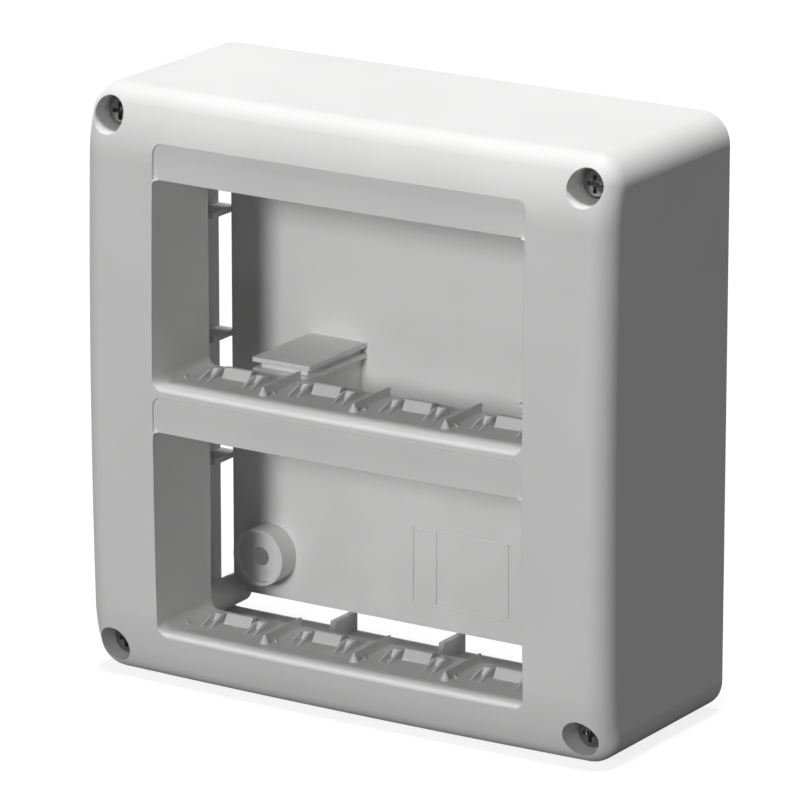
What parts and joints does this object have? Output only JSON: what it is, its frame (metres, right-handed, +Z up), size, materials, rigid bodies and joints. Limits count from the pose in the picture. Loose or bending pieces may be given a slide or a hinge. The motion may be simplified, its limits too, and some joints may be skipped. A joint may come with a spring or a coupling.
{
  "type": "surface-mounted device box",
  "caption": "Square deep wall box for trunking: a crowned moulded cover with rows of snap-in module bays, screwed to a back plate that is fixed to the wall.",
  "frame": {"origin": "middle of the rear face, in the plane of the wall", "axes": "+Y into the wall, so the front faces -Y; +X to the right seen from the front; +Z up"},
  "size_m": [0.1284, 0.0515, 0.129],
  "materials": {
    "cover_plastic": "fine satin moulded",
    "plate_plastic": "fine satin moulded",
    "screw_steel": "bright plated"
  },
  "bodies": {
    "root": {"front_cover": "cover_plastic", "back_plate": "plate_plastic", "cover_screw_top_left": "screw_steel", "cover_screw_top_right": "screw_steel", "cover_screw_bottom_left": "screw_steel", "cover_screw_bottom_right": "screw_steel"}
  },
  "joints": []
}
